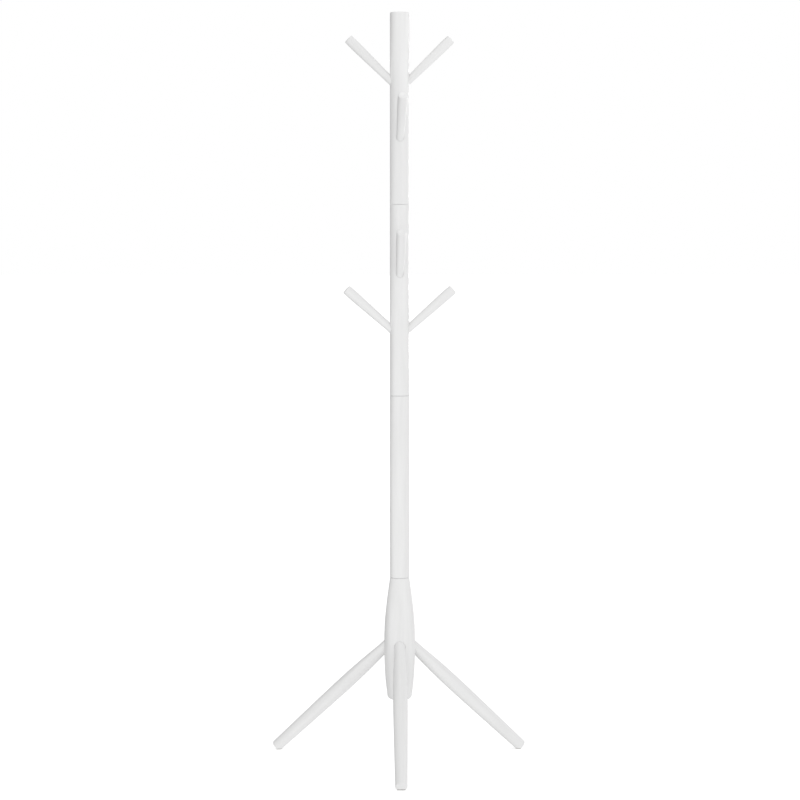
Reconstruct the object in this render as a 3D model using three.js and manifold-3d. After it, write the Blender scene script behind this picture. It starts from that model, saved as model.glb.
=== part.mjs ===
// Free-standing coat rack in white lacquered turned wood. A pole of three screwed sections carries
// eight pegs and stands in a swollen hub with three splayed legs. Millimetres, +Z up, the floor at
// z = 0, one leg and two of the pegs pointing to -Y, and the middle of the footprint on the Z axis.

import * as THREE from 'three';
import { mergeVertices } from 'three/addons/utils/BufferGeometryUtils.js';
import Module from 'manifold-3d';

const wasm = await Module();
wasm.setup();

// Fits
const gap = 0.3; // between any two touching pieces
const overcut = 8; // how far a bore's cutter runs on past the surface

// Pole
const poleRadius = 22.5;
const pegSectionLength = 444; // upper and middle sections
const lowerSectionLength = 426;
const endChamfer = 1.2; // both edges of each screwed joint
const topRounding = 3.5;
const topCrown = 1.2; // how much the top end is domed

// Hub
const hubLength = 287;
const hubBellyRadius = 36;
const hubRiseAboveLegs = 131.7; // from where the leg axes meet up to the hub's top
const hubFootRadius = 28.9; // just above the rounded bottom edge
const hubFootRounding = 12;
const hubOutline = [ // share of the hub's length, share of its belly radius
  [0.21, 0.94],
  [0.42, 1],
  [0.63, 0.962],
  [0.81, 0.822],
];

// Pegs
const pegLength = 146; // over all, from the root end in its socket
const pegRootRadius = 9;
const pegBellyRadius = 11.3;
const pegBellyShare = 0.72; // of the way from the pole to the outer end
const pegTipRadius = 11.1;
const pegTipRounding = 2;
const pegSocketDepth = 2; // at the socket's shallow side
const pegPairs = [ // drop is from the section's top down to where the pair's axes meet
  { drop: 178.5, rise: THREE.MathUtils.degToRad(44.2) },
  { drop: 306.3, rise: THREE.MathUtils.degToRad(41.5) },
];
const upperSectionTurn = THREE.MathUtils.degToRad(2.8); // past square once it is screwed tight
const middleSectionTurn = THREE.MathUtils.degToRad(1.3);

// Legs
const legCount = 3;
const legFall = THREE.MathUtils.degToRad(41.2);
const legReach = 339; // pole axis to the middle of the leg's end, measured level
const legRootRadius = 12.8;
const legBellyRadius = 16.8;
const legBellyShare = 0.33; // of the way from the hub to the outer end
const legEndRadius = 13.6;
const legEndRounding = 2;
const legSocketDepth = 3;
const footFlatDepth = 5; // how much of the leg's lowest corner is cut level
const padThickness = 2;
const padInset = 1.2;

// Hardware: hanger bolts with a wood thread at one end, turned into threaded inserts
const jointHardware = {
  boltRadius: 4,
  machineLength: 26,
  woodLength: 30,
  insertRadius: 6,
  insertLength: 20,
};
const pegHardware = { boltRadius: 3, woodLength: 22, insertRadius: 4.5, machineLength: 11 };
const legHardware = { boltRadius: 4, woodLength: 36, insertRadius: 6, machineLength: 15 };
const tipLength = 5; // pointed end of a wood thread
const leadIn = 0.8; // bevel on the machine end of a bolt

// Facets round each turned shape
const facets = { pole: 32, hub: 36, leg: 20, peg: 16, hardware: 12 };

// What follows from the driving dimensions
const seatOf = (outerRadius, slope, rootRadius, depth) =>
  (outerRadius - rootRadius * Math.sin(slope)) / Math.cos(slope) - depth;
const clearOf = (outerRadius, slope, rootRadius) =>
  (outerRadius + rootRadius * Math.sin(slope)) / Math.cos(slope) + endChamfer;
const pegSeatAt = (rise) => seatOf(poleRadius, rise, pegRootRadius, pegSocketDepth);
const pegTenonLength = Math.max(
  ...pegPairs.map(({ rise }) => clearOf(poleRadius, rise, pegRootRadius) - pegSeatAt(rise)),
);
const legSeat = seatOf(hubBellyRadius, legFall, legRootRadius, legSocketDepth);
const legTenonEnd = clearOf(hubBellyRadius, legFall, legRootRadius);
const legEnd = legReach / Math.cos(legFall);
const footFlatHeight = padThickness + gap;
const footEndHeight = footFlatHeight - footFlatDepth + legEndRadius * Math.cos(legFall);
const legMeetHeight = footEndHeight + legReach * Math.tan(legFall);
const hubTop = legMeetHeight + hubRiseAboveLegs;
const hubBottom = hubTop - hubLength;
const middleBase = hubTop + lowerSectionLength;
const upperBase = middleBase + pegSectionLength;

// Materials
const lacqueredWood = new THREE.MeshStandardMaterial({ color: 0xf1f0ee, roughness: 0.42, metalness: 0 });
const zincPlatedSteel = new THREE.MeshStandardMaterial({ color: 0xb9bcc0, roughness: 0.35, metalness: 1 });
const yellowZinc = new THREE.MeshStandardMaterial({ color: 0xc9b27a, roughness: 0.4, metalness: 1 });
const paleFelt = new THREE.MeshStandardMaterial({ color: 0xd9d7d2, roughness: 1, metalness: 0 });

// A shape turned about Z from [radius, height] pairs that run upwards
function turned(outline, facetCount) {
  const points = outline.map(([radius, height]) => new THREE.Vector2(radius, height));
  const geometry = new THREE.LatheGeometry(points, facetCount);
  geometry.rotateX(Math.PI / 2);
  return geometry;
}

// A closed geometry as a solid that can be cut or joined
function solidOf(geometry) {
  const bare = geometry.clone();
  bare.deleteAttribute('normal');
  bare.deleteAttribute('uv');
  const merged = mergeVertices(bare, 1e-4);
  const index = merged.index.array;
  const triangles = [];
  for (let i = 0; i < index.length; i += 3) {
    const [a, b, c] = index.slice(i, i + 3);
    if (a !== b && b !== c && c !== a) triangles.push(a, b, c);
  }
  return new wasm.Manifold(new wasm.Mesh({
    numProp: 3,
    vertProperties: Float32Array.from(merged.attributes.position.array),
    triVerts: Uint32Array.from(triangles),
  }));
}

function geometryOf(solid) {
  const { vertProperties, triVerts } = solid.getMesh();
  const geometry = new THREE.BufferGeometry();
  geometry.setAttribute('position', new THREE.BufferAttribute(Float32Array.from(vertProperties), 3));
  geometry.setIndex(new THREE.BufferAttribute(Uint32Array.from(triVerts), 1));
  geometry.computeVertexNormals();
  return geometry;
}

function cutFrom(geometry, cutters) {
  return geometryOf(cutters.reduce((solid, cutter) => solid.subtract(solidOf(cutter)), solidOf(geometry)));
}

function piece(name, geometry, material) {
  const mesh = new THREE.Mesh(geometry, material);
  mesh.name = name;
  return mesh;
}

// Turns a Z-axis shape outwards along +X: slope is positive upwards
const leanAngle = (slope) => Math.PI / 2 - slope;

// Quarter-round from a side of the given radius in to an end face, as [radius, height] pairs
function roundedEnd(radius, height, rounding, steps) {
  const outline = [];
  for (let i = 0; i <= steps; i += 1) {
    const turn = (Math.PI / 2) * (i / steps);
    outline.push([
      radius - rounding * (1 - Math.cos(turn)),
      height - rounding * (1 - Math.sin(turn)),
    ]);
  }
  return outline;
}

// Swelling length of a peg or leg: from its tenon out to the belly and on to its end
function swell(tenon, belly, end, steps) {
  const curve = new THREE.SplineCurve([tenon, belly, end].map(([r, z]) => new THREE.Vector2(r, z)));
  return curve.getPoints(steps).map(({ x, y }) => [x, y]);
}

// ---- Hardware ----

// A hanger bolt along Z: machine thread from low up to seat, wood thread from seat up to high
function hangerBolt(radius, low, seat, high) {
  return turned([
    [0, low],
    [radius - leadIn, low],
    [radius, low + leadIn],
    [radius, seat],
    [radius, high - tipLength],
    [0, high],
  ], facets.hardware);
}

function threadedInsert(outerRadius, boltRadius, low, high) {
  const bore = boltRadius + gap;
  return turned([
    [bore, low],
    [outerRadius - leadIn, low],
    [outerRadius, low + leadIn],
    [outerRadius, high],
    [bore, high],
    [bore, low],
  ], facets.hardware);
}

// What a leaning peg or leg needs cut out of the piece that holds it: insert bore, then socket
function seatCutters(seat, rootRadius, hardware, tenonEnd, facetCount, slope, azimuth) {
  const column = (radius, low, high, sides) =>
    turned([[0, low], [radius, low], [radius, high], [0, high]], sides);
  const boreLow = seat - hardware.machineLength - gap;
  const insertBore = column(hardware.insertRadius + gap, boreLow, seat, facets.hardware);
  const socket = column(rootRadius + gap, seat - gap, tenonEnd + overcut, facetCount);
  return [insertBore, socket].map((cutter) => {
    cutter.rotateY(leanAngle(slope));
    cutter.rotateZ(azimuth);
    return cutter;
  });
}

// The bore for a bolt's wood thread, upwards from the end of the piece that carries it
function woodThreadCutter(radius, low, depth) {
  const bore = radius + gap;
  return turned([
    [0, low - overcut],
    [bore, low - overcut],
    [bore, low + depth + gap],
    [0, low + depth + gap],
  ], facets.hardware);
}

// The bore for an insert and the bolt beyond it, downwards from an end face at the given height
function insertCutter(top) {
  const { insertRadius, insertLength, boltRadius, machineLength } = jointHardware;
  const shoulder = top - insertLength - 2 * gap;
  return turned([
    [0, top - machineLength - 2 * gap],
    [boltRadius + gap, top - machineLength - 2 * gap],
    [boltRadius + gap, shoulder],
    [insertRadius + gap, shoulder],
    [insertRadius + gap, top + overcut],
    [0, top + overcut],
  ], facets.hardware);
}

// Bolt and insert of one screwed joint in the pole, with the joint's plane at the group's origin
function poleJoint(name) {
  const { boltRadius, machineLength, woodLength, insertRadius, insertLength } = jointHardware;
  const insertTop = -2 * gap;
  const bolt = hangerBolt(boltRadius, -machineLength, 0, woodLength);
  const insert = threadedInsert(insertRadius, boltRadius, insertTop - insertLength, insertTop);
  const joint = new THREE.Group();
  joint.add(piece(`${name}_joint_bolt`, bolt, zincPlatedSteel));
  joint.add(piece(`${name}_joint_insert`, insert, yellowZinc));
  return joint;
}

// Bolt and insert of one peg or leg, along Z from where its axis meets the pole's axis
function leaningHardware(name, hardware, seat) {
  const low = seat - hardware.machineLength;
  const bolt = hangerBolt(hardware.boltRadius, low, seat, seat + hardware.woodLength);
  const insert = threadedInsert(hardware.insertRadius, hardware.boltRadius, low, seat - 2 * gap);
  return [
    piece(`${name}_bolt`, bolt, zincPlatedSteel),
    piece(`${name}_insert`, insert, yellowZinc),
  ];
}

// ---- Pole ----

// A plain length of pole standing on z = 0; its top stops a gap short of the next piece
function poleRod(length) {
  const top = length - gap;
  return turned([
    [0, 0],
    [poleRadius - endChamfer, 0],
    [poleRadius, endChamfer],
    [poleRadius, top - endChamfer],
    [poleRadius - endChamfer, top],
    [0, top],
  ], facets.pole);
}

// The top length of pole, with a rounded edge and a slightly domed end instead of a joint
function domedRod(length) {
  const shoulder = length - topCrown;
  return turned([
    [0, 0],
    [poleRadius - endChamfer, 0],
    [poleRadius, endChamfer],
    ...roundedEnd(poleRadius, shoulder, topRounding, 4),
    [poleRadius / 2, length - topCrown / 4],
    [0, length],
  ], facets.pole);
}

// Bores for two opposite pairs of pegs, the first pair along X and the second along Y
function pegBores() {
  const bores = [];
  pegPairs.forEach(({ drop, rise }, pair) => {
    const seat = pegSeatAt(rise);
    for (const side of [0, 1]) {
      const azimuth = pair * Math.PI / 2 + side * Math.PI;
      const cutters = seatCutters(
        seat, pegRootRadius, pegHardware, seat + pegTenonLength, facets.peg, rise, azimuth,
      );
      cutters.forEach((cutter) => cutter.translate(0, 0, pegSectionLength - drop));
      bores.push(...cutters);
    }
  });
  return bores;
}

function lowerSection() {
  return cutFrom(poleRod(lowerSectionLength), [
    woodThreadCutter(jointHardware.boltRadius, 0, jointHardware.woodLength),
    insertCutter(lowerSectionLength - gap),
  ]);
}

function middleSection() {
  return cutFrom(poleRod(pegSectionLength), [
    woodThreadCutter(jointHardware.boltRadius, 0, jointHardware.woodLength),
    insertCutter(pegSectionLength - gap),
    ...pegBores(),
  ]);
}

function upperSection() {
  return cutFrom(domedRod(pegSectionLength), [
    woodThreadCutter(jointHardware.boltRadius, 0, jointHardware.woodLength),
    ...pegBores(),
  ]);
}

// ---- Pegs ----

// A turned peg standing on z = 0, from its root in the socket to its rounded end
function pegShape() {
  const bellyAt = pegTenonLength + pegBellyShare * (pegLength - pegTenonLength);
  const shoulder = pegLength - pegTipRounding;
  const rod = turned([
    [0, 0],
    [pegRootRadius, 0],
    ...swell([pegRootRadius, pegTenonLength], [pegBellyRadius, bellyAt], [pegTipRadius, shoulder], 6),
    ...roundedEnd(pegTipRadius, pegLength, pegTipRounding, 2).slice(1),
    [0, pegLength],
  ], facets.peg);
  return cutFrom(rod, [woodThreadCutter(pegHardware.boltRadius, 0, pegHardware.woodLength)]);
}

// One peg with its hardware, pointing to the given azimuth
function pegAt(name, azimuth, meetHeight, rise) {
  const seat = pegSeatAt(rise);
  const lean = new THREE.Group();
  lean.rotation.y = leanAngle(rise);
  lean.add(standing(piece(name, pegShape(), lacqueredWood), seat));
  lean.add(...leaningHardware(name, pegHardware, seat));
  const spoke = new THREE.Group();
  spoke.position.z = meetHeight;
  spoke.rotation.z = azimuth;
  spoke.add(lean);
  return spoke;
}

// The four pegs of a section whose own X axis is turned to the given angle
function pegsOf(sectionName, sectionBase, turn, sides) {
  const pegs = new THREE.Group();
  sides.forEach((side, i) => {
    const pair = Math.floor(i / 2);
    const azimuth = turn + pair * Math.PI / 2 + (i % 2) * Math.PI;
    const { drop, rise } = pegPairs[pair];
    const meetHeight = sectionBase + pegSectionLength - drop;
    pegs.add(pegAt(`${sectionName}_peg_${side}`, azimuth, meetHeight, rise));
  });
  return pegs;
}

// ---- Hub ----

// The turned hub standing on z = 0, with the joint chamfer at its top
function hubShape() {
  const top = hubLength - gap;
  const shoulder = top - endChamfer;
  const side = new THREE.SplineCurve([
    new THREE.Vector2(hubFootRadius, hubFootRounding),
    ...hubOutline.map(([up, out]) => new THREE.Vector2(out * hubBellyRadius, up * hubLength)),
    new THREE.Vector2(poleRadius, shoulder),
  ]);
  const foot = roundedEnd(hubFootRadius, 0, hubFootRounding, 4)
    .map(([radius, height]) => [radius, -height])
    .reverse()
    .slice(0, -1);
  return turned([
    [0, 0],
    ...foot,
    ...side.getPoints(14).map(({ x, y }) => [x, y]),
    [poleRadius - endChamfer, top],
    [0, top],
  ], facets.hub);
}

const legAzimuth = (i) => -Math.PI / 2 + i * 2 * Math.PI / legCount;

function hub() {
  const bores = [];
  for (let i = 0; i < legCount; i += 1) {
    const cutters = seatCutters(
      legSeat, legRootRadius, legHardware, legTenonEnd, facets.leg, -legFall, legAzimuth(i),
    );
    cutters.forEach((cutter) => cutter.translate(0, 0, legMeetHeight - hubBottom));
    bores.push(...cutters);
  }
  return cutFrom(hubShape(), [insertCutter(hubLength - gap), ...bores]);
}

// ---- Legs ----

// A turned leg in its spoke's frame: origin where the leg axes meet, +X outwards, +Z up
function legShape() {
  const bellyAt = legTenonEnd + legBellyShare * (legEnd - legTenonEnd);
  const shoulder = legEnd - legEndRounding;
  const rod = turned([
    [0, legSeat],
    [legRootRadius, legSeat],
    ...swell([legRootRadius, legTenonEnd], [legBellyRadius, bellyAt], [legEndRadius, shoulder], 8),
    ...roundedEnd(legEndRadius, legEnd, legEndRounding, 2).slice(1),
    [0, legEnd],
  ], facets.leg);
  const bored = cutFrom(rod, [woodThreadCutter(legHardware.boltRadius, legSeat, legHardware.woodLength)]);
  bored.rotateY(leanAngle(-legFall));
  const blockSize = 8 * legEndRadius;
  const floorBlock = new THREE.BoxGeometry(blockSize, blockSize, blockSize);
  floorBlock.translate(legReach, 0, footFlatHeight - legMeetHeight - blockSize / 2);
  return cutFrom(bored, [floorBlock]);
}

// A thin pad with the outline of the foot's level flat, a little inside its edge
function footPad() {
  const axisCrossing = (legMeetHeight - footFlatHeight) / Math.tan(legFall);
  const endFace = legReach + (footFlatHeight - footEndHeight) * Math.tan(legFall);
  const halfLength = legEndRadius / Math.sin(legFall) - padInset;
  const halfWidth = legEndRadius - padInset;
  const chord = endFace - padInset;
  const sweep = Math.acos((axisCrossing - chord) / halfLength);
  const outline = new THREE.Shape();
  outline.absellipse(axisCrossing, 0, halfLength, halfWidth, Math.PI - sweep, Math.PI + sweep, false, 0);
  outline.closePath();
  return new THREE.ExtrudeGeometry(outline, { depth: padThickness, bevelEnabled: false, curveSegments: 12 });
}

// One leg with its hardware and pad, pointing to the given azimuth
function legAt(name, azimuth) {
  const lean = new THREE.Group();
  lean.rotation.y = leanAngle(-legFall);
  lean.add(...leaningHardware(name, legHardware, legSeat));
  const pad = piece(`${name}_pad`, footPad(), paleFelt);
  pad.position.z = -legMeetHeight;
  const spoke = new THREE.Group();
  spoke.position.z = legMeetHeight;
  spoke.rotation.z = azimuth;
  spoke.add(piece(name, legShape(), lacqueredWood), lean, pad);
  return spoke;
}

// ---- Assembly ----

function standing(mesh, base, turn = 0) {
  mesh.position.z = base;
  mesh.rotation.z = turn;
  return mesh;
}

const middleTurn = middleSectionTurn - Math.PI / 2;
const rack = new THREE.Group();
rack.add(standing(piece('base_hub', hub(), lacqueredWood), hubBottom));
rack.add(standing(piece('lower_pole_section', lowerSection(), lacqueredWood), hubTop));
rack.add(standing(piece('middle_pole_section', middleSection(), lacqueredWood), middleBase, middleTurn));
rack.add(standing(piece('upper_pole_section', upperSection(), lacqueredWood), upperBase, upperSectionTurn));
rack.add(standing(poleJoint('lower'), hubTop));
rack.add(standing(poleJoint('middle'), middleBase));
rack.add(standing(poleJoint('upper'), upperBase));
rack.add(pegsOf('upper', upperBase, upperSectionTurn, ['right', 'left', 'back', 'front']));
rack.add(pegsOf('middle', middleBase, middleTurn, ['front', 'back', 'right', 'left']));
['front', 'right', 'left'].forEach((side, i) => rack.add(legAt(`${side}_leg`, legAzimuth(i))));

// The pole stands behind the middle of the footprint, because one leg points forwards
const footprint = new THREE.Box3().setFromObject(rack).getCenter(new THREE.Vector3());
rack.position.set(-footprint.x, -footprint.y, 0);

export default rack;
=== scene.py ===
import math
import random

import bmesh
import bpy
from mathutils import Matrix, Vector


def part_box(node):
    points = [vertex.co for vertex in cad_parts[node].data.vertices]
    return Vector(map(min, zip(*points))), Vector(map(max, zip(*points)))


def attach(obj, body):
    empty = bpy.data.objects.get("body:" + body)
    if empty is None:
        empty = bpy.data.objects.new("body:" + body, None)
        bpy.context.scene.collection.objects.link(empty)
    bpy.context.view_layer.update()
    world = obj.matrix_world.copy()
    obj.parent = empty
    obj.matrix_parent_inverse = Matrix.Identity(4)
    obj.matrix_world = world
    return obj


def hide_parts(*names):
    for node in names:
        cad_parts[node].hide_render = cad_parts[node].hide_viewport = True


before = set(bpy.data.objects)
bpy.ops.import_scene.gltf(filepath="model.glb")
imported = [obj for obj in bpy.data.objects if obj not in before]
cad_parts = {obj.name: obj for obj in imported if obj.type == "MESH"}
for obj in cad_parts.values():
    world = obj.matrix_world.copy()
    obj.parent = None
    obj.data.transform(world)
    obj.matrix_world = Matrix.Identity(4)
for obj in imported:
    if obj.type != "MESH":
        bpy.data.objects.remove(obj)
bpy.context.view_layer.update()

# White lacquered coat rack: a turned pole in three screwed lengths, eight pegs, a hub and three legs.
# Every piece is turned on its own Z axis, as on a lathe, and then put in its place.

mm = 0.001
gap = 0.3 * mm  # clearance between touching pieces
weld = 0.001 * mm  # points closer than this are one
sideAngles = {"right": 0, "back": 90, "left": 180, "front": -90}
legAngles = {"front": -90, "right": 30, "left": 150}

poleLow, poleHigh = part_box("lower_pole_section")
poleAxis = Vector(((poleLow.x + poleHigh.x) / 2, (poleLow.y + poleHigh.y) / 2, 0))
poleRadius = (poleHigh.x - poleLow.x) / 2


# Outlines are (radius, height) points that run upwards.

def roundStretch(centre, radius, fromAngle, toAngle, steps):
    # angles in degrees, 0 is outwards and 90 is up
    points = []
    for i in range(steps + 1):
        angle = math.radians(fromAngle + (toAngle - fromAngle) * i / steps)
        points.append((centre[0] + radius * math.cos(angle), centre[1] + radius * math.sin(angle)))
    return points


def straightStretch(start, end, every):
    steps = max(1, round(math.dist(start, end) / every))
    return [
        (start[0] + (end[0] - start[0]) * i / steps, start[1] + (end[1] - start[1]) * i / steps)
        for i in range(steps + 1)
    ]


def flowingStretch(points, steps):
    # a smooth line through the points, with no bend at either end
    line = []
    ends = [points[0], *points, points[-1]]
    for before, start, end, after in zip(ends, ends[1:], ends[2:], ends[3:]):
        for i in range(steps):
            t = i / steps
            line.append(tuple(
                a + t * ((b - z) / 2 + t * (3 * (b - a) - (b - z) - (c - a) / 2
                + t * (2 * (a - b) + (b - z) / 2 + (c - a) / 2)))
                for z, a, b, c in zip(before, start, end, after)
            ))
    return [*line, points[-1]]


dome = {
    "roundedTo": 80,  # degrees of rounding before the crown takes over
    "roundedSteps": 7,
    "crownRings": (0.8, 0.6, 0.4, 0.2, 0),
}


def domedEnd(radius, end, rounding, crown):
    # from the side over a rounded edge to a slightly crowned end face
    centre = (radius - rounding, end - crown - rounding)
    outline = roundStretch(centre, rounding, 0, dome["roundedTo"], dome["roundedSteps"])
    rim = outline[-1]
    for share in dome["crownRings"]:
        outline.append((rim[0] * share, rim[1] + (end - rim[1]) * (1 - share * share)))
    return outline


# Making and placing pieces.

def turned(outline, around, closed=False):
    bm = bmesh.new()
    verts = [bm.verts.new((radius, 0, height)) for radius, height in outline]
    edges = [bm.edges.new(pair) for pair in zip(verts, verts[1:])]
    if closed:
        edges.append(bm.edges.new((verts[-1], verts[0])))
    bmesh.ops.spin(
        bm, geom=verts + edges, cent=(0, 0, 0), axis=(0, 0, 1), dvec=(0, 0, 0),
        angle=math.tau, steps=around, use_merge=True, use_normal_flip=False, use_duplicate=False,
    )
    bmesh.ops.remove_doubles(bm, verts=bm.verts, dist=weld)
    bmesh.ops.recalc_face_normals(bm, faces=bm.faces)
    return bm


def meshFrom(bm, name):
    mesh = bpy.data.meshes.new(name)
    bm.to_mesh(mesh)
    bm.free()
    return mesh


def combined(mesh, other, operation):
    # cuts the other mesh out of this one, or joins the two, and returns the result
    body = bpy.data.objects.new(mesh.name, mesh)
    tool = bpy.data.objects.new("tool", other)
    for item in (body, tool):
        bpy.context.scene.collection.objects.link(item)
    boolean = body.modifiers.new("boolean", "BOOLEAN")
    boolean.operation = operation
    boolean.solver = "EXACT"
    boolean.object = tool
    result = bpy.data.meshes.new_from_object(body.evaluated_get(bpy.context.evaluated_depsgraph_get()))
    for item in (body, tool):
        bpy.data.objects.remove(item)
    return result


def storeTurningSpace(mesh, name):
    # the wood grain follows each piece's own turning axis and starts somewhere new on each piece
    spread = random.Random(name)
    start = Vector([spread.uniform(0, 3) for _ in range(3)])
    space = mesh.attributes.new("turningSpace", "FLOAT_VECTOR", "POINT")
    for vertex, entry in zip(mesh.vertices, space.data):
        entry.vector = vertex.co + start


def addPiece(name, mesh, material, standsFor, place, sharpAngle=32):
    mesh.name = name
    storeTurningSpace(mesh, name)
    mesh.transform(place)
    mesh.materials.clear()
    mesh.materials.append(material)
    mesh.shade_smooth()
    mesh.set_sharp_from_angle(angle=math.radians(sharpAngle))
    piece = bpy.data.objects.new(name, mesh)
    bpy.context.scene.collection.objects.link(piece)
    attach(piece, "root")
    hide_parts(standsFor)


def leaning(azimuth, slope, meetHeight):
    # turns a Z-axis piece outwards from the pole's axis; slope is positive upwards, in degrees
    return (
        Matrix.Translation(poleAxis + Vector((0, 0, meetHeight)))
        @ Matrix.Rotation(math.radians(azimuth), 4, "Z")
        @ Matrix.Rotation(math.radians(90 - slope), 4, "Y")
    )


# Materials.

def addNode(tree, kind, inputs=None, **settings):
    made = tree.nodes.new(kind)
    for setting, value in settings.items():
        setattr(made, setting, value)
    for socketName, value in (inputs or {}).items():
        socket = made.inputs[socketName]
        if isinstance(value, bpy.types.NodeSocket):
            tree.links.new(value, socket)
        else:
            socket.default_value = value
    return made


def newMaterial(name):
    material = bpy.data.materials.new(name)
    material.use_nodes = True
    return material, material.node_tree, material.node_tree.nodes["Principled BSDF"]


def turningSpace(tree):
    return addNode(tree, "ShaderNodeAttribute", attribute_name="turningSpace").outputs["Vector"]


noiseRoughness = 0.55


def stretchedNoise(tree, vector, stretch, detail):
    along = addNode(tree, "ShaderNodeMapping", {"Vector": vector, "Scale": stretch})
    return addNode(
        tree, "ShaderNodeTexNoise",
        {"Vector": along.outputs["Vector"], "Scale": 1, "Detail": detail, "Roughness": noiseRoughness},
    ).outputs["Fac"]


def rangeOf(tree, value, low, high, toLow, toHigh, course="LINEAR"):
    return addNode(
        tree, "ShaderNodeMapRange",
        {"Value": value, "From Min": low, "From Max": high, "To Min": toLow, "To Max": toHigh},
        interpolation_type=course,
    ).outputs["Result"]


def spreadOut(tree, noise, toLow, toHigh):
    # noise seldom leaves its middle part
    return rangeOf(tree, noise, 0.3, 0.7, toLow, toHigh)


def tinted(tree, value, dark, light):
    ramp = addNode(tree, "ShaderNodeValToRGB", {"Fac": value})
    ramp.color_ramp.elements[0].color = (*dark, 1)
    ramp.color_ramp.elements[1].color = (*light, 1)
    return ramp.outputs["Color"]


def bumped(tree, height, strength, distance, normal=None):
    inputs = {"Height": height, "Strength": strength, "Distance": distance}
    if normal:
        inputs["Normal"] = normal
    return addNode(tree, "ShaderNodeBump", inputs).outputs["Normal"]


lacquer = {
    "shade": (0.80, 0.80, 0.798),
    "light": (0.86, 0.86, 0.858),
    "roughness": (0.30, 0.42),
    "coat": 0.25,
    "coatRoughness": 0.18,
    "streaks": (60, 60, 5),  # waves per metre across and along the grain, here and below
    "pores": (1500, 1500, 45),
    "poreStrength": 0.25,
    "poreDepth": 0.05 * mm,
    "orangePeel": (420, 420, 420),
    "peelStrength": 0.2,
    "peelDepth": 0.03 * mm,
    "handling": (28, 28, 28),
}


def whiteLacquer():
    material, tree, shader = newMaterial("white lacquer over turned wood")
    space = turningSpace(tree)
    streaks = stretchedNoise(tree, space, lacquer["streaks"], 3)
    pores = stretchedNoise(tree, space, lacquer["pores"], 4)
    orangePeel = stretchedNoise(tree, space, lacquer["orangePeel"], 2)
    handling = stretchedNoise(tree, space, lacquer["handling"], 5)

    colour = tinted(tree, spreadOut(tree, streaks, 0, 1), lacquer["shade"], lacquer["light"])
    tree.links.new(colour, shader.inputs["Base Color"])
    tree.links.new(spreadOut(tree, handling, *lacquer["roughness"]), shader.inputs["Roughness"])
    grain = bumped(tree, pores, lacquer["poreStrength"], lacquer["poreDepth"])
    peel = bumped(tree, orangePeel, lacquer["peelStrength"], lacquer["peelDepth"], grain)
    tree.links.new(peel, shader.inputs["Normal"])
    shader.inputs["Coat Weight"].default_value = lacquer["coat"]
    shader.inputs["Coat Roughness"].default_value = lacquer["coatRoughness"]
    return material


plating = {
    "cloud": (180, 180, 180),
    "roughness": (0.28, 0.45),
    "toolMarks": (300, 300, 4000),
    "markStrength": 0.3,
    "markDepth": 0.05 * mm,
}


def platedMetal(name, dark, light):
    material, tree, shader = newMaterial(name)
    space = turningSpace(tree)
    cloud = stretchedNoise(tree, space, plating["cloud"], 4)
    toolMarks = stretchedNoise(tree, space, plating["toolMarks"], 3)
    tree.links.new(tinted(tree, cloud, dark, light), shader.inputs["Base Color"])
    tree.links.new(spreadOut(tree, cloud, *plating["roughness"]), shader.inputs["Roughness"])
    marks = bumped(tree, toolMarks, plating["markStrength"], plating["markDepth"])
    tree.links.new(marks, shader.inputs["Normal"])
    shader.inputs["Metallic"].default_value = 1
    return material


felt = {
    "shade": (0.50, 0.49, 0.47),
    "light": (0.82, 0.81, 0.79),
    "roughness": 0.95,
    "sheen": 0.4,
    "fibres": (2500, 900, 1500),
    "fibreStrength": 0.9,
    "fibreDepth": 0.3 * mm,
}


def paleFelt():
    material, tree, shader = newMaterial("pale felt")
    fibres = stretchedNoise(tree, turningSpace(tree), felt["fibres"], 6)
    tree.links.new(tinted(tree, fibres, felt["shade"], felt["light"]), shader.inputs["Base Color"])
    pile = bumped(tree, fibres, felt["fibreStrength"], felt["fibreDepth"])
    tree.links.new(pile, shader.inputs["Normal"])
    shader.inputs["Roughness"].default_value = felt["roughness"]
    shader.inputs["Sheen Weight"].default_value = felt["sheen"]
    return material


def addLacquered(name, mesh, place):
    addPiece(f"{name}_lacquered", mesh, whiteFinish, name, place)


whiteFinish = whiteLacquer()
zincFinish = platedMetal("bright zinc plated steel", (0.50, 0.51, 0.53), (0.68, 0.69, 0.71))
insertFinish = platedMetal("yellow zinc insert", (0.55, 0.43, 0.20), (0.78, 0.64, 0.36))
feltFinish = paleFelt()
print("materials ready")


# Hanger bolts and the inserts they turn into, along Z with the seam between two pieces at seat.

jointHardware = {
    "boltRadius": 4 * mm, "machineLength": 26 * mm, "woodLength": 30 * mm,
    "insertRadius": 6 * mm, "insertLength": 20 * mm, "pitch": 1.25 * mm, "woodPitch": 3.2 * mm,
}
pegHardware = {
    "boltRadius": 3 * mm, "machineLength": 11 * mm, "woodLength": 22 * mm,
    "insertRadius": 4.5 * mm, "insertLength": 10.4 * mm, "pitch": 1 * mm, "woodPitch": 2.6 * mm,
}
legHardware = {
    "boltRadius": 4 * mm, "machineLength": 15 * mm, "woodLength": 36 * mm,
    "insertRadius": 6 * mm, "insertLength": 14.4 * mm, "pitch": 1.25 * mm, "woodPitch": 3.2 * mm,
}
thread = {
    "around": 28,
    "rootShare": 0.42,  # half of the ridge's foot, as a share of the pitch
    "crestShare": 0.06,
    "depthShare": 0.6,  # depth of a machine thread, as a share of its pitch
    "woodCoreShare": 0.7,  # core of a wood thread, as a share of the bolt's radius
    "embedded": 0.1 * mm,
    "collar": 1.2 * mm,  # plain band each side of the seam
    "tipLength": 5 * mm,
    "leadIn": 0.8 * mm,
    "knifeDepth": 0.7 * mm,  # how far an insert's outer thread stands up
    "slotWidth": 1.4 * mm,
    "slotDepth": 1.8 * mm,
}


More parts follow.
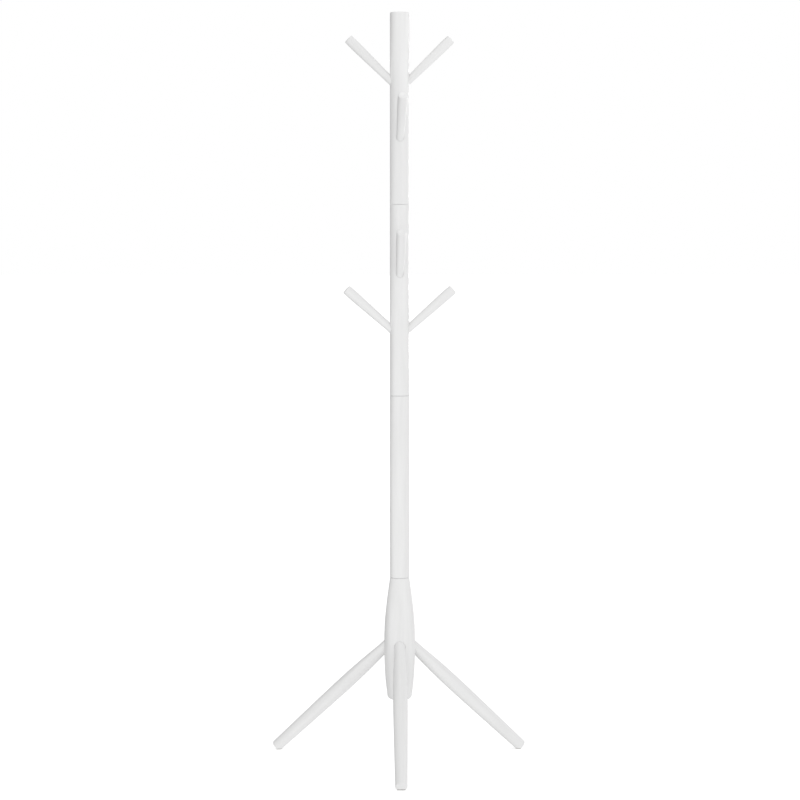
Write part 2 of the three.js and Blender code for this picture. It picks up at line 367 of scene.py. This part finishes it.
def threadRidge(crest, root, pitch, low, high):
    around = thread["around"]
    steps = round((high - low - pitch) / pitch * around)
    middle = low + pitch / 2
    foot = thread["rootShare"] * pitch
    edge = thread["crestShare"] * pitch
    bm = bmesh.new()
    corners = [(root, middle - foot), (crest, middle - edge), (crest, middle + edge), (root, middle + foot)]
    section = bm.faces.new([bm.verts.new((radius, 0, height)) for radius, height in corners])
    bmesh.ops.spin(
        bm, geom=[section, *section.edges, *section.verts], cent=(0, 0, 0), axis=(0, 0, 1),
        dvec=(0, 0, pitch / around), angle=math.tau * steps / around, steps=steps,
        use_merge=False, use_normal_flip=False, use_duplicate=False,
    )
    bmesh.ops.recalc_face_normals(bm, faces=bm.faces)
    return meshFrom(bm, "ridge")


def hangerBolt(hardware, seat):
    radius = hardware["boltRadius"]
    pitch = hardware["pitch"]
    low = seat - hardware["machineLength"]
    high = seat + hardware["woodLength"]
    core = radius - thread["depthShare"] * pitch
    woodCore = thread["woodCoreShare"] * radius
    collar = thread["collar"]
    leadIn = thread["leadIn"]
    shank = meshFrom(turned([
        (0, low),
        (core - leadIn, low),
        (core, low + leadIn),
        (core, seat - collar),
        (radius, seat - collar),
        (radius, seat + collar),
        (woodCore, seat + collar + leadIn),
        (woodCore, high - thread["tipLength"]),
        (0, high),
    ], thread["around"]), "bolt")
    machineEnd = seat - collar
    woodEnd = high - thread["tipLength"]
    embedded = thread["embedded"]
    machine = threadRidge(radius, core - embedded, pitch, low + leadIn, machineEnd)
    wood = threadRidge(
        radius, woodCore - embedded, hardware["woodPitch"], seat + collar + leadIn, woodEnd)
    return combined(combined(shank, machine, "UNION"), wood, "UNION")


def threadedInsert(hardware, seat):
    high = seat - 2 * gap
    low = high - hardware["insertLength"]
    bore = hardware["boltRadius"] + gap
    outer = hardware["insertRadius"]
    core = outer - thread["knifeDepth"]
    leadIn = thread["leadIn"] / 2
    sleeve = meshFrom(turned([
        (bore, low),
        (core - leadIn, low),
        (core, low + leadIn),
        (core, high),
        (bore, high),
    ], thread["around"], closed=True), "insert")
    ridge = threadRidge(outer, core - thread["embedded"], hardware["woodPitch"], low + leadIn, high)
    slot = bmesh.new()
    size = Matrix.Diagonal((thread["slotWidth"], 4 * outer, 2 * thread["slotDepth"], 1))
    bmesh.ops.create_cube(slot, size=1, matrix=Matrix.Translation((0, 0, high)) @ size)
    return combined(combined(sleeve, ridge, "UNION"), meshFrom(slot, "slot"), "DIFFERENCE")


def addHardware(name, hardware, seat, place):
    bolt = hangerBolt(hardware, seat)
    insert = threadedInsert(hardware, seat)
    addPiece(f"{name}_bolt_threaded", bolt, zincFinish, f"{name}_bolt", place)
    addPiece(f"{name}_insert_threaded", insert, insertFinish, f"{name}_insert", place)


# Bores and sockets that the turned pieces need for their hardware and neighbours.

def boltBoreUp(hardware, low):
    # from the axis down to the end face, as the start of an outline
    radius = hardware["boltRadius"] + gap
    top = low + hardware["woodLength"] + gap
    return [(0, top), (radius, top), (radius, low)]


def insertBoreDown(top):
    # from the end face down to the axis, as the end of an outline
    seat = top + gap
    shoulder = seat - jointHardware["insertLength"] - 3 * gap
    bottom = seat - jointHardware["machineLength"] - gap
    wide = jointHardware["insertRadius"] + gap
    narrow = jointHardware["boltRadius"] + gap
    return [(wide, top), (wide, shoulder), (narrow, shoulder), (narrow, bottom), (0, bottom)]


socketCut = {"length": 60 * mm}  # from the seat to well outside the pole or hub


def socketCutter(seat, rootRadius, hardware, around):
    # insert bore and socket of one leaning piece, along Z from where its axis meets the pole's
    bottom = seat - hardware["machineLength"] - gap
    wellOutside = seat + socketCut["length"]
    return turned([
        (0, bottom),
        (hardware["insertRadius"] + gap, bottom),
        (hardware["insertRadius"] + gap, seat - gap),
        (rootRadius + gap, seat - gap),
        (rootRadius + gap, wellOutside),
        (0, wellOutside),
    ], around)


def drilled(mesh, sockets, rootRadius, hardware, around):
    # sockets are pairs of seat and place
    cutters = bmesh.new()
    for seat, place in sockets:
        cutter = meshFrom(socketCutter(seat, rootRadius, hardware, around), "socket")
        cutter.transform(Matrix.Translation(-poleAxis) @ place)
        cutters.from_mesh(cutter)
    return combined(mesh, meshFrom(cutters, "sockets"), "DIFFERENCE")


pole = {
    "around": 96,
    "ringEvery": 6 * mm,
    "edge": 1.2 * mm,
    "edgeSteps": 4,
    "topRounding": 3.5 * mm,
    "topCrown": 1.2 * mm,
}


def seatOf(outerRadius, slope, rootRadius, depth):
    # how far along its own axis a leaning piece starts
    slope = math.radians(slope)
    return (outerRadius - rootRadius * math.sin(slope)) / math.cos(slope) - depth


def clearOf(outerRadius, slope, rootRadius):
    # how far along its own axis a leaning piece has left the pole or hub all round
    slope = math.radians(slope)
    return (outerRadius + rootRadius * math.sin(slope)) / math.cos(slope) + pole["edge"]


# Pegs, eight alike.

pegs = {
    "length": 146 * mm,
    "rootRadius": 9 * mm,
    "bellyRadius": 11.3 * mm,
    "bellyShare": 0.72,
    "tipRadius": 11.1 * mm,
    "tipRounding": 2.2 * mm,
    "tipCrown": 0.7 * mm,
    "socketDepth": 2 * mm,
    "tenonRingEvery": 4 * mm,
    "flowSteps": 16,  # rings in each stretch of the turned shape
    "around": 64,
}
pegPairs = [  # height of the meeting point above the section's foot, and the slope
    {"height": 265.5 * mm, "rise": 44.2},
    {"height": 137.7 * mm, "rise": 41.5},
]
pegSections = {  # the angle past square once screwed tight, and the sides of each pair
    "upper": {"turn": 2.8, "pairs": [("right", "left"), ("back", "front")]},
    "middle": {"turn": 1.3, "pairs": [("front", "back"), ("right", "left")]},
}


def pegSeatAt(rise):
    return seatOf(poleRadius, rise, pegs["rootRadius"], pegs["socketDepth"])


def pegPlaces(level):
    # name, seat and place of each peg of a section
    section = pegSections[level]
    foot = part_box(f"{level}_pole_section")[0].z
    for pair, sides in zip(pegPairs, section["pairs"]):
        for side in sides:
            place = leaning(sideAngles[side] + section["turn"], pair["rise"], foot + pair["height"])
            yield f"{level}_peg_{side}", pegSeatAt(pair["rise"]), place


def pegOutline():
    tenon = max(
        clearOf(poleRadius, pair["rise"], pegs["rootRadius"]) - pegSeatAt(pair["rise"]) for pair in pegPairs
    )
    end = pegs["length"]
    return [
        *boltBoreUp(pegHardware, 0),
        *straightStretch((pegs["rootRadius"], 0), (pegs["rootRadius"], tenon), pegs["tenonRingEvery"])[:-1],
        *flowingStretch([
            (pegs["rootRadius"], tenon),
            (pegs["bellyRadius"], tenon + pegs["bellyShare"] * (end - tenon)),
            (pegs["tipRadius"], end - pegs["tipRounding"] - pegs["tipCrown"]),
        ], pegs["flowSteps"])[:-1],
        *domedEnd(pegs["tipRadius"], end, pegs["tipRounding"], pegs["tipCrown"]),
    ]


def addPegs(level):
    for name, seat, place in pegPlaces(level):
        mesh = meshFrom(turned(pegOutline(), pegs["around"]), name)
        addLacquered(name, mesh, place @ Matrix.Translation((0, 0, seat)))
        addHardware(name, pegHardware, seat, place)


# Pole, three lengths.

def poleOutline(name, hasJointAbove):
    low, high = (corner.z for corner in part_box(name))
    edge = pole["edge"]
    outline = [
        *boltBoreUp(jointHardware, low),
        *roundStretch((poleRadius - edge, low + edge), edge, -90, 0, pole["edgeSteps"]),
    ]
    shoulder = high - (edge if hasJointAbove else pole["topCrown"] + pole["topRounding"])
    outline += straightStretch((poleRadius, low + edge), (poleRadius, shoulder), pole["ringEvery"])[1:-1]
    if hasJointAbove:
        outline += roundStretch((poleRadius - edge, shoulder), edge, 0, 90, pole["edgeSteps"])
        return outline + insertBoreDown(high)
    return outline + domedEnd(poleRadius, high, pole["topRounding"], pole["topCrown"])


def addPoleSection(level):
    name = f"{level}_pole_section"
    mesh = meshFrom(turned(poleOutline(name, level != "upper"), pole["around"]), name)
    if level in pegSections:
        sockets = [(seat, place) for _, seat, place in pegPlaces(level)]
        mesh = drilled(mesh, sockets, pegs["rootRadius"], pegHardware, pegs["around"])
    addLacquered(name, mesh, Matrix.Translation(poleAxis))
    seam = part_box(name)[0].z
    addHardware(f"{level}_joint", jointHardware, 0, Matrix.Translation(poleAxis + Vector((0, 0, seam))))


for level in ("lower", "middle", "upper"):
    addPoleSection(level)
    print(f"{level} pole section turned and drilled")
for level in pegSections:
    addPegs(level)
    print(f"{level} pegs turned")


# Legs, three alike, each with a level flat and a felt pad.

legs = {
    "fall": 41.2,
    "reach": 339 * mm,
    "rootRadius": 12.8 * mm,
    "bellyRadius": 16.8 * mm,
    "bellyShare": 0.33,
    "endRadius": 13.6 * mm,
    "endRounding": 2.2 * mm,
    "endCrown": 0.7 * mm,
    "socketDepth": 3 * mm,
    "tenonRingEvery": 5 * mm,
    "flowSteps": 32,
    "padInset": 1.2 * mm,
    "padEdge": 0.5 * mm,
    "padAround": 96,
    "around": 80,
}
hub = {
    "bellyRadius": 36 * mm,
    "footRadius": 28.9 * mm,
    "footRounding": 12 * mm,
    "footRoundingSteps": 10,
    "footRing": 1 / 3,  # an inner ring in the flat underside
    "outline": [(0.21, 0.94), (0.42, 1), (0.63, 0.962), (0.81, 0.822)],  # shares of length and belly
    "flowSteps": 10,
    "around": 112,
}

legSeat = seatOf(hub["bellyRadius"], legs["fall"], legs["rootRadius"], legs["socketDepth"])


def legPlace(side):
    # the meeting point of the axes comes from the top of the leg's root
    fall = math.radians(legs["fall"])
    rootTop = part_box(f"{side}_leg")[1].z
    meetHeight = rootTop + legSeat * math.sin(fall) - legs["rootRadius"] * math.cos(fall)
    return leaning(legAngles[side], -legs["fall"], meetHeight)


def legOutline():
    tenonEnd = clearOf(hub["bellyRadius"], legs["fall"], legs["rootRadius"])
    end = legs["reach"] / math.cos(math.radians(legs["fall"]))
    return [
        *boltBoreUp(legHardware, legSeat),
        *straightStretch(
            (legs["rootRadius"], legSeat), (legs["rootRadius"], tenonEnd), legs["tenonRingEvery"])[:-1],
        *flowingStretch([
            (legs["rootRadius"], tenonEnd),
            (legs["bellyRadius"], tenonEnd + legs["bellyShare"] * (end - tenonEnd)),
            (legs["endRadius"], end - legs["endRounding"] - legs["endCrown"]),
        ], legs["flowSteps"])[:-1],
        *domedEnd(legs["endRadius"], end, legs["endRounding"], legs["endCrown"]),
    ]


def cutOff(bm, point, direction):
    # takes away all that lies beyond the plane and returns the edges of the cut, still open
    cut = bmesh.ops.bisect_plane(
        bm, geom=bm.verts[:] + bm.edges[:] + bm.faces[:], dist=weld,
        plane_co=point, plane_no=direction, clear_outer=True, clear_inner=False,
    )
    return [item for item in cut["geom_cut"] if isinstance(item, bmesh.types.BMEdge)]


def addLeg(side):
    name = f"{side}_leg"
    place = legPlace(side)
    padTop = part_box(f"{name}_pad")[1].z
    bm = turned(legOutline(), legs["around"])
    footFlat = place.inverted() @ Vector((0, 0, padTop + gap))
    down = place.to_3x3().inverted() @ Vector((0, 0, -1))
    bmesh.ops.edgeloop_fill(bm, edges=cutOff(bm, footFlat, down))
    bmesh.ops.recalc_face_normals(bm, faces=bm.faces)
    addLacquered(name, meshFrom(bm, name), place)
    addHardware(name, legHardware, legSeat, place)


def addPad(side):
    # the outline of the foot's flat is an ellipse cut off by the leg's end
    name = f"{side}_leg_pad"
    frontLow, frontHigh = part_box("front_leg_pad")
    outerEnd = poleAxis.y - frontLow.y
    innerEnd = poleAxis.y - frontHigh.y
    thickness = frontHigh.z - frontLow.z
    halfLength = legs["endRadius"] / math.sin(math.radians(legs["fall"])) - legs["padInset"]
    halfWidth = legs["endRadius"] - legs["padInset"]
    bm = bmesh.new()
    oval = Matrix.Translation((innerEnd + halfLength, 0, 0)) @ Matrix.Diagonal((halfLength, halfWidth, 1, 1))
    bmesh.ops.create_circle(bm, segments=legs["padAround"], radius=1, cap_ends=True, matrix=oval)
    cutOff(bm, (outerEnd, 0, 0), (1, 0, 0))
    raised = bmesh.ops.extrude_face_region(bm, geom=bm.faces[:])
    top = [item for item in raised["geom"] if isinstance(item, bmesh.types.BMVert)]
    bmesh.ops.translate(bm, verts=top, vec=(0, 0, thickness))
    bmesh.ops.recalc_face_normals(bm, faces=bm.faces)
    folded = math.radians(60)
    rims = [  # level edges where two faces meet at an angle
        edge for edge in bm.edges
        if abs(edge.verts[0].co.z - edge.verts[1].co.z) < weld and edge.calc_face_angle(0) > folded
    ]
    bmesh.ops.bevel(
        bm, geom=rims, offset=legs["padEdge"], segments=3, profile=0.5, affect="EDGES", material=-1)
    place = Matrix.Translation(poleAxis) @ Matrix.Rotation(math.radians(legAngles[side]), 4, "Z")
    addPiece(f"{name}_felt", meshFrom(bm, name), feltFinish, name, place)


for side in legAngles:
    addLeg(side)
    addPad(side)
    print(f"{side} leg turned and cut level, pad under it")


def hubOutline():
    low, high = (corner.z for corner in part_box("base_hub"))
    length = high - low + gap
    edge = pole["edge"]
    rounding = hub["footRounding"]
    side = [(hub["footRadius"], low + rounding)]
    side += [(out * hub["bellyRadius"], low + up * length) for up, out in hub["outline"]]
    side += [(poleRadius, high - edge)]
    return [
        (0, low),
        (hub["footRing"] * hub["footRadius"], low),
        *roundStretch(
            (hub["footRadius"] - rounding, low + rounding), rounding, -90, 0, hub["footRoundingSteps"])[:-1],
        *flowingStretch(side, hub["flowSteps"])[:-1],
        *roundStretch((poleRadius - edge, high - edge), edge, 0, 90, pole["edgeSteps"]),
        *insertBoreDown(high),
    ]


def addHub():
    mesh = meshFrom(turned(hubOutline(), hub["around"]), "base_hub")
    sockets = [(legSeat, legPlace(side)) for side in legAngles]
    mesh = drilled(mesh, sockets, legs["rootRadius"], legHardware, legs["around"])
    addLacquered("base_hub", mesh, Matrix.Translation(poleAxis))


addHub()
print("hub turned and drilled")


# Floor, light and camera.

studio = {
    "floorSize": 60,
    "floorShade": (0.93, 0.93, 0.93, 1),
    "floorRoughness": 0.9,
    "floorGlow": 0.36,
    "surround": 1.12,
    "surroundByHeight": (0.92, 1.0, 0.80),  # straight down, level and straight up
    "flags": [  # dark flags: one to the left, a little behind, and a faint one to the right
        {"side": (-0.80, 0.60, 0.0), "span": (0.25, 0.95), "leaves": 0.27},
        {"side": (0.85, 0.53, 0.0), "span": (0.20, 0.90), "leaves": 0.86},
    ],
}
lights = {
    "key": {
        "power": 0.13, "place": (1.15, 0.10, 1.95), "aim": (0, 0.08, 1.72), "size": (0.5, 0.5), "spread": 50,
    },
    "front": {
        "power": 0.06, "place": (-0.1, -1.4, 1.0), "aim": (0, 0.08, 1.0), "size": (0.5, 0.5), "spread": 60,
    },
    "low": {
        "power": 0.72, "place": (-1.0, -0.10, 0.4), "aim": (0, 0.08, 0.4), "size": (0.5, 0.5), "spread": 180,
    },
    "top": {
        "power": 1.3, "place": (0.03, -0.02, 2.9), "aim": (0, 0, 0), "size": (0.25, 0.25), "spread": 180,
    },
    "rim": {
        "power": 0.06, "place": (0.75, 1.38, 1.3), "aim": (0, 0.08, 1.3), "size": (0.12, 0.9), "spread": 20,
    },
}


def addFloor():
    bm = bmesh.new()
    bmesh.ops.create_grid(bm, x_segments=1, y_segments=1, size=studio["floorSize"])
    mesh = meshFrom(bm, "floor")
    material, _, shader = newMaterial("pale floor")
    shader.inputs["Base Color"].default_value = studio["floorShade"]
    shader.inputs["Roughness"].default_value = studio["floorRoughness"]
    shader.inputs["Specular IOR Level"].default_value = 0
    shader.inputs["Emission Color"].default_value = (1, 1, 1, 1)
    shader.inputs["Emission Strength"].default_value = studio["floorGlow"]
    mesh.materials.append(material)
    floor = bpy.data.objects.new("floor", mesh)
    bpy.context.scene.collection.objects.link(floor)
    floor.visible_diffuse = False
    floor.visible_glossy = False


def addSurround():
    world = bpy.data.worlds.new("studio")
    bpy.context.scene.world = world
    world.use_nodes = True
    tree = world.node_tree
    tree.nodes.clear()
    direction = addNode(tree, "ShaderNodeTexCoord").outputs["Generated"]
    upward = addNode(tree, "ShaderNodeSeparateXYZ", {"Vector": direction}).outputs["Z"]
    byHeight = addNode(tree, "ShaderNodeValToRGB", {"Fac": rangeOf(tree, upward, -1, 1, 0, 1)})
    ramp = byHeight.color_ramp
    ramp.elements.new(0.5)
    for element, level in zip(ramp.elements, studio["surroundByHeight"]):
        element.color = (level, level, level, 1)
    strength = studio["surround"]
    for flag in studio["flags"]:
        towards = addNode(
            tree, "ShaderNodeVectorMath", {0: direction, 1: flag["side"]}, operation="DOT_PRODUCT",
        ).outputs["Value"]
        shaded = rangeOf(tree, towards, *flag["span"], 1, flag["leaves"], "SMOOTHSTEP")
        strength = addNode(
            tree, "ShaderNodeMath", {0: strength, 1: shaded}, operation="MULTIPLY",
        ).outputs["Value"]
    soft = addNode(tree, "ShaderNodeBackground", {"Color": byHeight.outputs["Color"], "Strength": strength})
    white = addNode(tree, "ShaderNodeBackground", {"Color": (1, 1, 1, 1), "Strength": 1})
    seen = addNode(tree, "ShaderNodeLightPath").outputs["Is Camera Ray"]
    mixed = addNode(tree, "ShaderNodeMixShader", {0: seen, 1: soft.outputs[0], 2: white.outputs[0]})
    addNode(tree, "ShaderNodeOutputWorld", {"Surface": mixed.outputs[0]})


def addSoftbox(name, box):
    data = bpy.data.lights.new(f"{name} softbox", "AREA")
    data.shape = "RECTANGLE"
    data.size, data.size_y = box["size"]
    data.energy = box["power"]
    data.spread = math.radians(box["spread"])
    light = bpy.data.objects.new(f"{name} softbox", data)
    light.location = box["place"]
    light.rotation_euler = (Vector(box["aim"]) - light.location).to_track_quat("-Z", "Y").to_euler()
    bpy.context.scene.collection.objects.link(light)


view = {
    "lens": 127.2,
    "sensor": 36,
    "seesTo": 200,
    "distance": 6.570,
    "leftwards": 0.075,
    "height": 1.266,
    "tiltDown": 3.61,
    "pan": 0.007,  # degrees past the pole, to the right
}


def addCamera():
    data = bpy.data.cameras.new("camera")
    data.lens = view["lens"]
    data.sensor_width = view["sensor"]
    data.clip_end = view["seesTo"]
    camera = bpy.data.objects.new("camera", data)
    camera.location = (poleAxis.x - view["leftwards"], poleAxis.y - view["distance"], view["height"])
    towardsPole = math.atan(view["leftwards"] / view["distance"])
    camera.rotation_euler = (
        math.radians(90 - view["tiltDown"]), 0, -towardsPole - math.radians(view["pan"]))
    bpy.context.scene.collection.objects.link(camera)
    bpy.context.scene.camera = camera


addFloor()
addSurround()
for name, box in lights.items():
    addSoftbox(name, box)
addCamera()
bpy.context.scene.view_settings.view_transform = "Standard"
print("studio ready")
